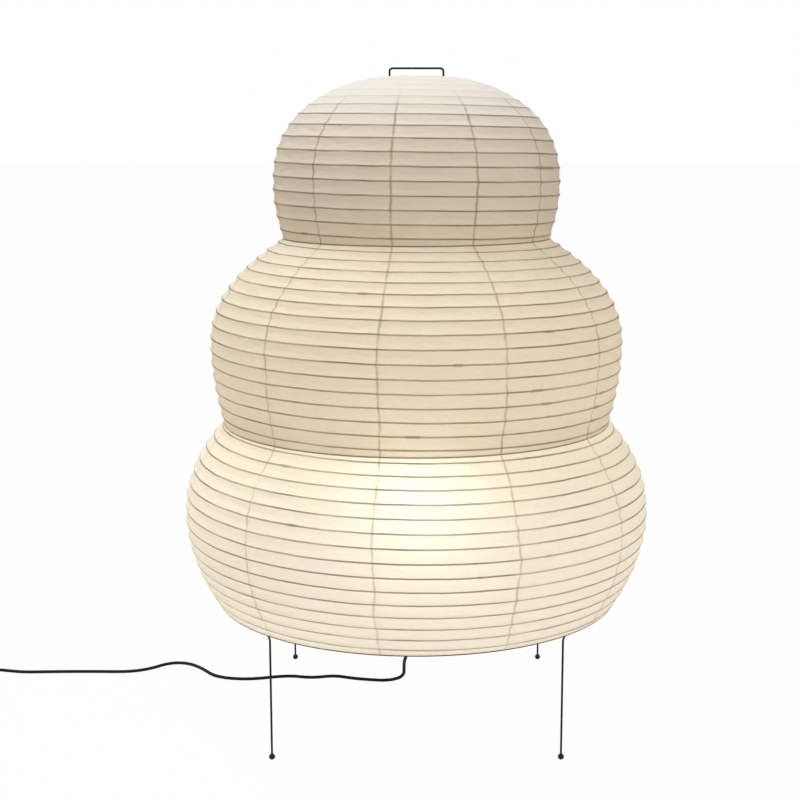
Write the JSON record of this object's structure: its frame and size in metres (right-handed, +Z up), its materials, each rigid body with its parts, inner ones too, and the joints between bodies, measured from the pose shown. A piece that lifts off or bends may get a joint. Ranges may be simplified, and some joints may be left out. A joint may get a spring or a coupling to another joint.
{
  "type": "paper lamp",
  "caption": "Paper floor lamp: a three-tier swelling paper shade on spiral bamboo ribs, with a wire handle, four thin wire legs with ball feet, a screw bulb and a black cord.",
  "frame": {"origin": "on the floor, under the middle of the lamp, cord left out", "axes": "+Z up, -Y towards the front that the picture shows, +X to the picture's right"},
  "size_m": [0.8576, 0.468, 0.6557],
  "materials": {
    "black_wire": "black powder coat, satin",
    "black_foot": "black, glossy",
    "shade_paper": "warm white, fibrous, lets light through",
    "bamboo": "split bamboo, raw",
    "zinc": "zinc plated",
    "holder_black": "moulded, satin gloss",
    "holder_ceramic": "unglazed, white",
    "contact_brass": "rolled",
    "bulb_metal": "rolled thread",
    "bulb_black_glass": "black insulating glass",
    "bulb_opal": "opal white, lit",
    "bulb_inside": "clear",
    "bulb_filament": "lit filament strips",
    "cord_black": "black, dull",
    "switch_black": "black, fine grain",
    "tie_black": "black plastic band",
    "pin_nickel": "nickel plated"
  },
  "bodies": {
    "lamp": {"base_ring": "black_wire", "cross_bar": "black_wire", "rear_right_leg": "black_wire", "rear_left_leg": "black_wire", "front_left_leg": "black_wire", "front_right_leg": "black_wire", "top_hoop": "black_wire", "left_stretcher": "black_wire", "right_stretcher": "black_wire", "top_handle": "black_wire", "left_stretcher_socket": "black_wire", "right_stretcher_socket": "black_wire", "rear_right_foot": "black_foot", "rear_left_foot": "black_foot", "front_left_foot": "black_foot", "front_right_foot": "black_foot", "top_paper": "shade_paper", "middle_paper": "shade_paper", "bottom_paper": "shade_paper", "top_rib": "bamboo", "middle_rib": "bamboo", "bottom_rib": "bamboo", "upper_waist_hoop": "bamboo", "lower_waist_hoop": "bamboo", "threaded_nipple": "zinc", "nipple_washer": "zinc", "nipple_nut": "zinc", "switch_screws": "zinc", "rocker_pin": "zinc", "holder_cap": "holder_black", "holder_body": "holder_black", "holder_ring": "holder_black", "contact_block": "holder_ceramic", "screw_shell": "contact_brass", "centre_contact": "contact_brass", "strain_relief": "cord_black", "cord_lead": "cord_black", "cord_coil": "cord_black", "cord_tail": "cord_black", "cord_end": "cord_black", "switch_base": "switch_black", "switch_cover": "switch_black", "plug_body": "switch_black", "coil_tie": "tie_black", "plug_pins": "pin_nickel"},
    "bulb_contact": {"bulb_tip": "bulb_metal"},
    "bulb": {"bulb_insulator": "bulb_black_glass", "bulb_cap": "bulb_metal", "bulb_glass": "bulb_opal", "bulb_stem": "bulb_inside", "bulb_filaments": "bulb_filament"},
    "rocker": {"switch_rocker": "switch_black"}
  },
  "joints": [
    {"name": "bulb_lift", "type": "slide", "parent": "lamp", "child": "bulb_contact", "axis": [0, 0, 1], "range_m": [0, 0.0182]},
    {"name": "bulb_turn", "type": "hinge", "parent": "bulb_contact", "child": "bulb", "pos_m": [0, 0, 0.17], "axis": [0, 0, 1], "range_deg": [0, 1800]},
    {"name": "switch_rock", "type": "hinge", "parent": "lamp", "child": "rocker", "pos_m": [-0.521, 0.0884, 0.0118], "axis": [0, 1, 0], "range_deg": [0, 14]}
  ],
  "couplings": [
    {"joint": "bulb_lift", "follows": "bulb_turn", "m_per_rad": 0.00057614}
  ]
}
